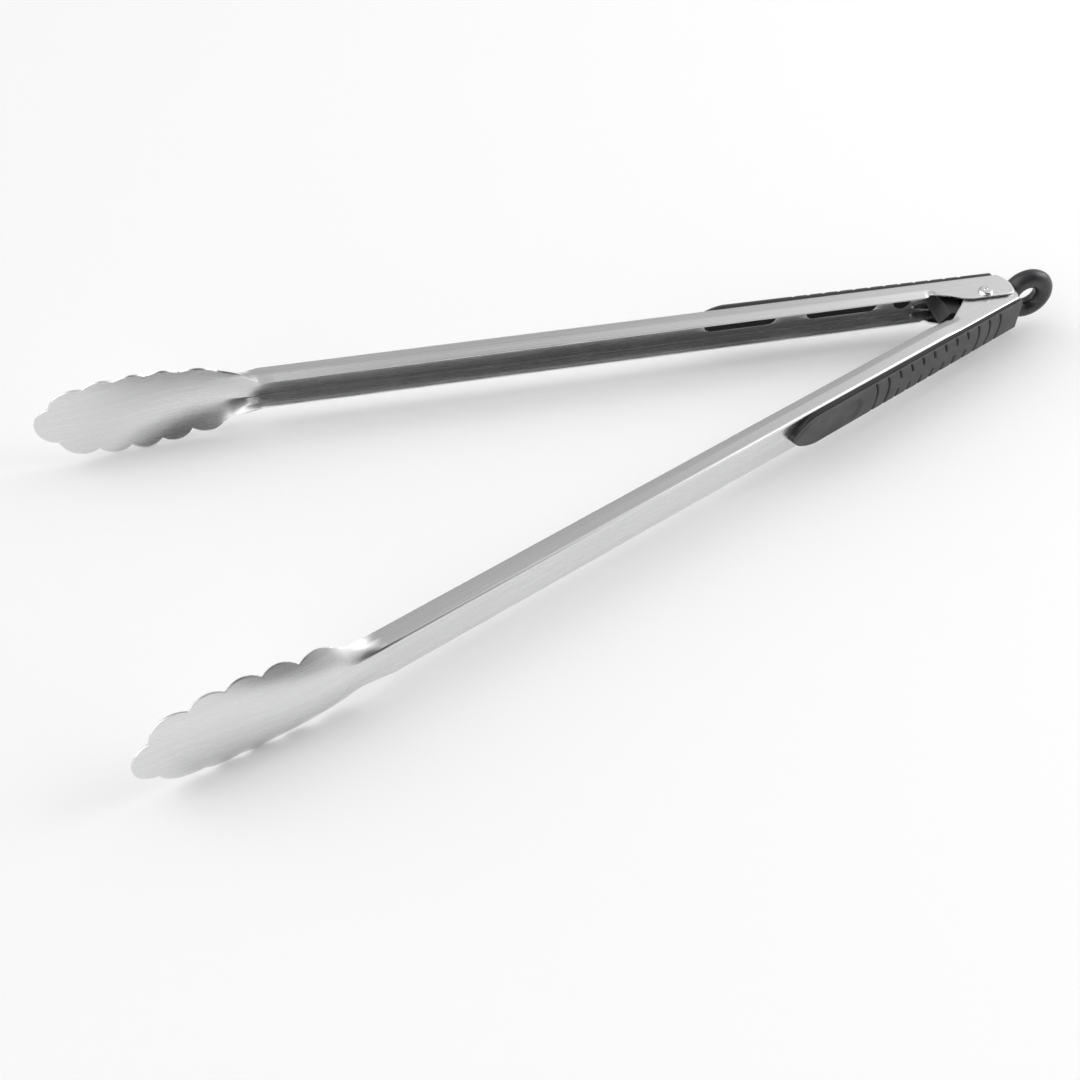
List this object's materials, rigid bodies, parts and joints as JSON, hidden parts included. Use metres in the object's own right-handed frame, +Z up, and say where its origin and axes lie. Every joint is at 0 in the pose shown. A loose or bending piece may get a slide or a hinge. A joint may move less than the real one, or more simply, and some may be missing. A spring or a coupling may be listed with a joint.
{
  "type": "spring loaded kitchen tongs",
  "caption": "Long stamped steel tongs with scalloped spoon heads, soft grips, a torsion spring at the pivot and a pull-ring lock slide, shown sprung open.",
  "frame": {"origin": "bottom centre of the open tongs' bounding box, on the surface they lie on", "axes": "+X from the heads to the pivot and pull ring along the centreline, +Y towards the outer arm, +Z up along the pivot axis"},
  "size_m": [0.4067, 0.1676, 0.036],
  "materials": {
    "arm_steel": "brushed along the arm, satin",
    "rivet_steel": "bright, formed heads",
    "spring_steel": "drawn wire",
    "bush_steel": "turned",
    "carrier_nylon": "black moulded nylon, satin",
    "pad_rubber": "soft-touch dark grey, matte",
    "slide_nylon": "black moulded nylon",
    "ring_rubber": "soft black, slightly glossy"
  },
  "bodies": {
    "outer": {"outer_arm": "arm_steel", "outer_grip_carrier": "carrier_nylon", "outer_grip_pad": "pad_rubber", "pivot_rivet": "rivet_steel", "pivot_bush": "bush_steel", "torsion_spring": "spring_steel"},
    "inner": {"inner_arm": "arm_steel", "inner_grip_carrier": "carrier_nylon", "inner_grip_pad": "pad_rubber"},
    "lock": {"lock_slide": "slide_nylon", "pull_ring": "ring_rubber"}
  },
  "joints": [
    {"name": "arm_hinge", "type": "hinge", "parent": "outer", "child": "inner", "pos_m": [0.16949, 0, 0.01801], "axis": [0, 0, -1], "range_deg": [0, 24.8], "stiffness_Nm_per_rad": 0.8, "springref_deg": -20.05, "deforming": ["torsion_spring"]},
    {"name": "lock_travel", "type": "slide", "parent": "outer", "child": "lock", "axis": [0.9759, -0.2181, 0], "range_m": [0, 0.007]}
  ]
}
